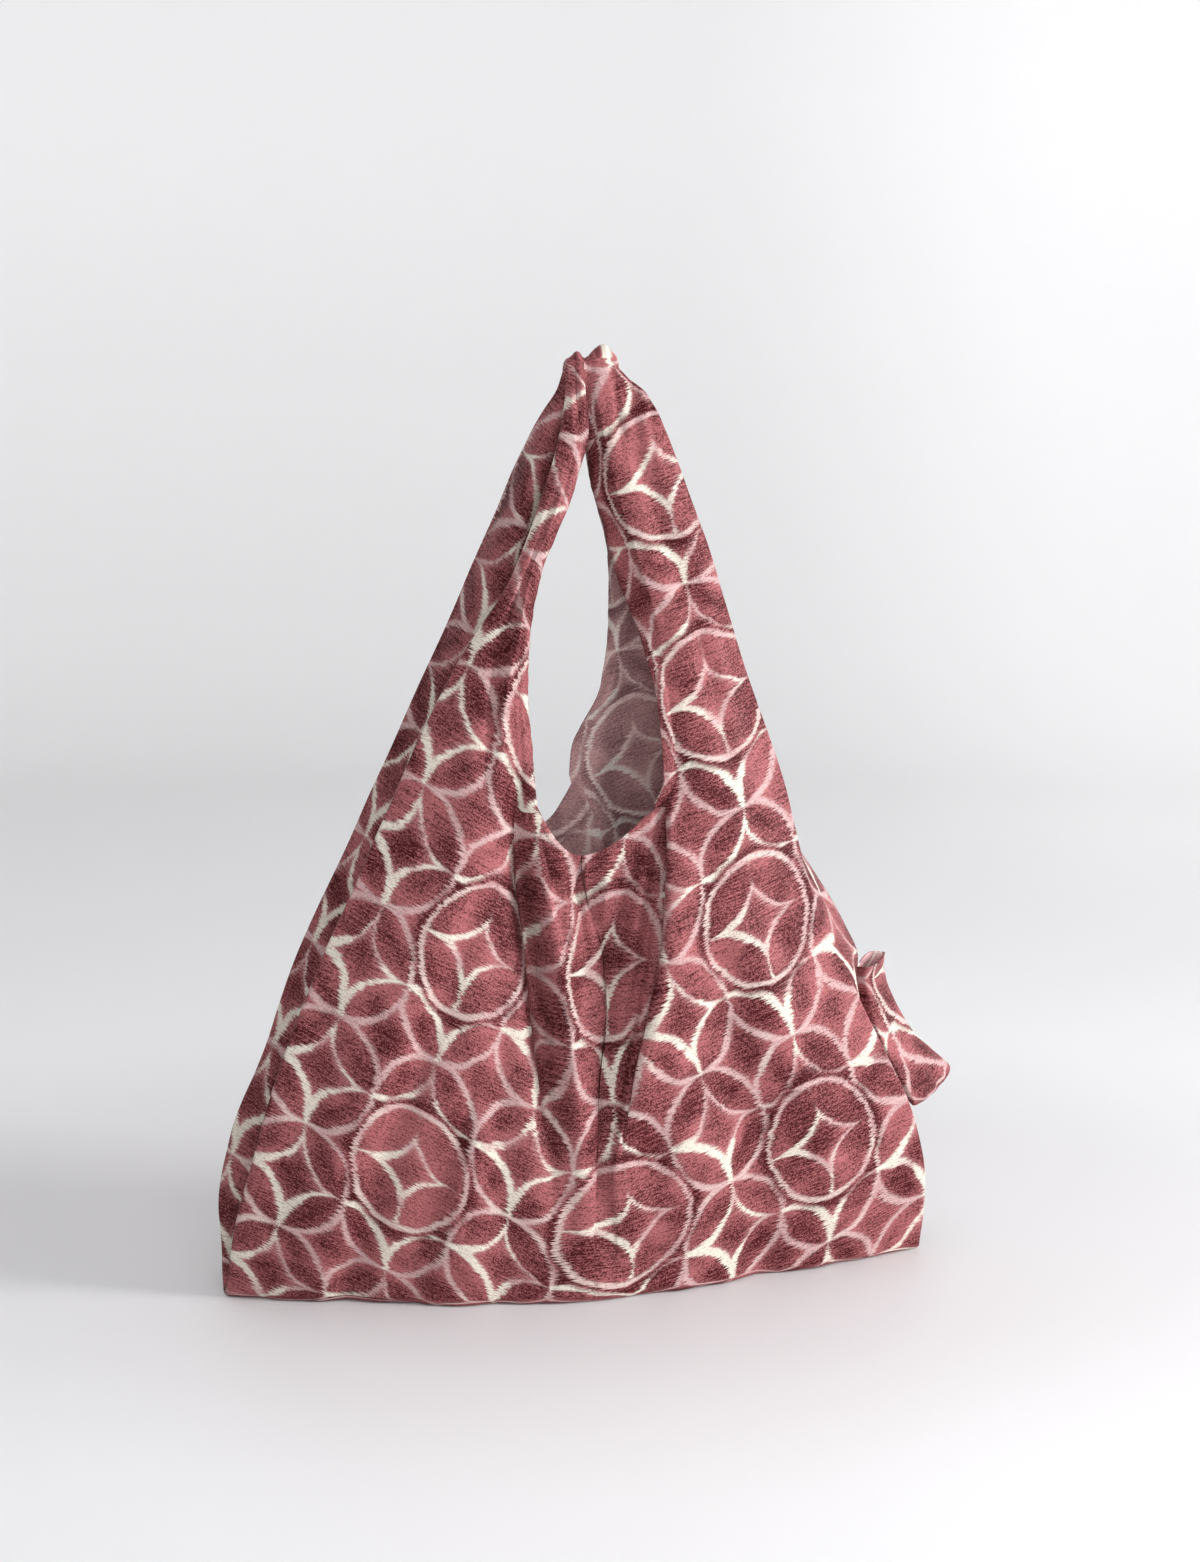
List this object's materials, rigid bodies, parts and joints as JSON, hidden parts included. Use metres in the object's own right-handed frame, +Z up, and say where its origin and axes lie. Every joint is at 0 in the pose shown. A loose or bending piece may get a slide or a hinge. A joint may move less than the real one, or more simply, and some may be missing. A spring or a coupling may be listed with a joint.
{
  "type": "reusable cloth shopping bag",
  "caption": "Open carrier bag of thin woven cloth with two shoulder handles cut in one with the body, folded side gussets and a small pouch at one side.",
  "frame": {"origin": "middle of the base, on the ground, halfway between the two base corners", "axes": "+X to the right seen from the front, +Y to the back, +Z up"},
  "size_m": [0.5359, 0.1574, 0.648],
  "materials": {
    "printed_cloth": "satin",
    "pouch_cloth": "satin"
  },
  "bodies": {
    "root": {"front_panel": "printed_cloth", "back_panel": "printed_cloth", "pouch": "pouch_cloth"}
  },
  "joints": []
}
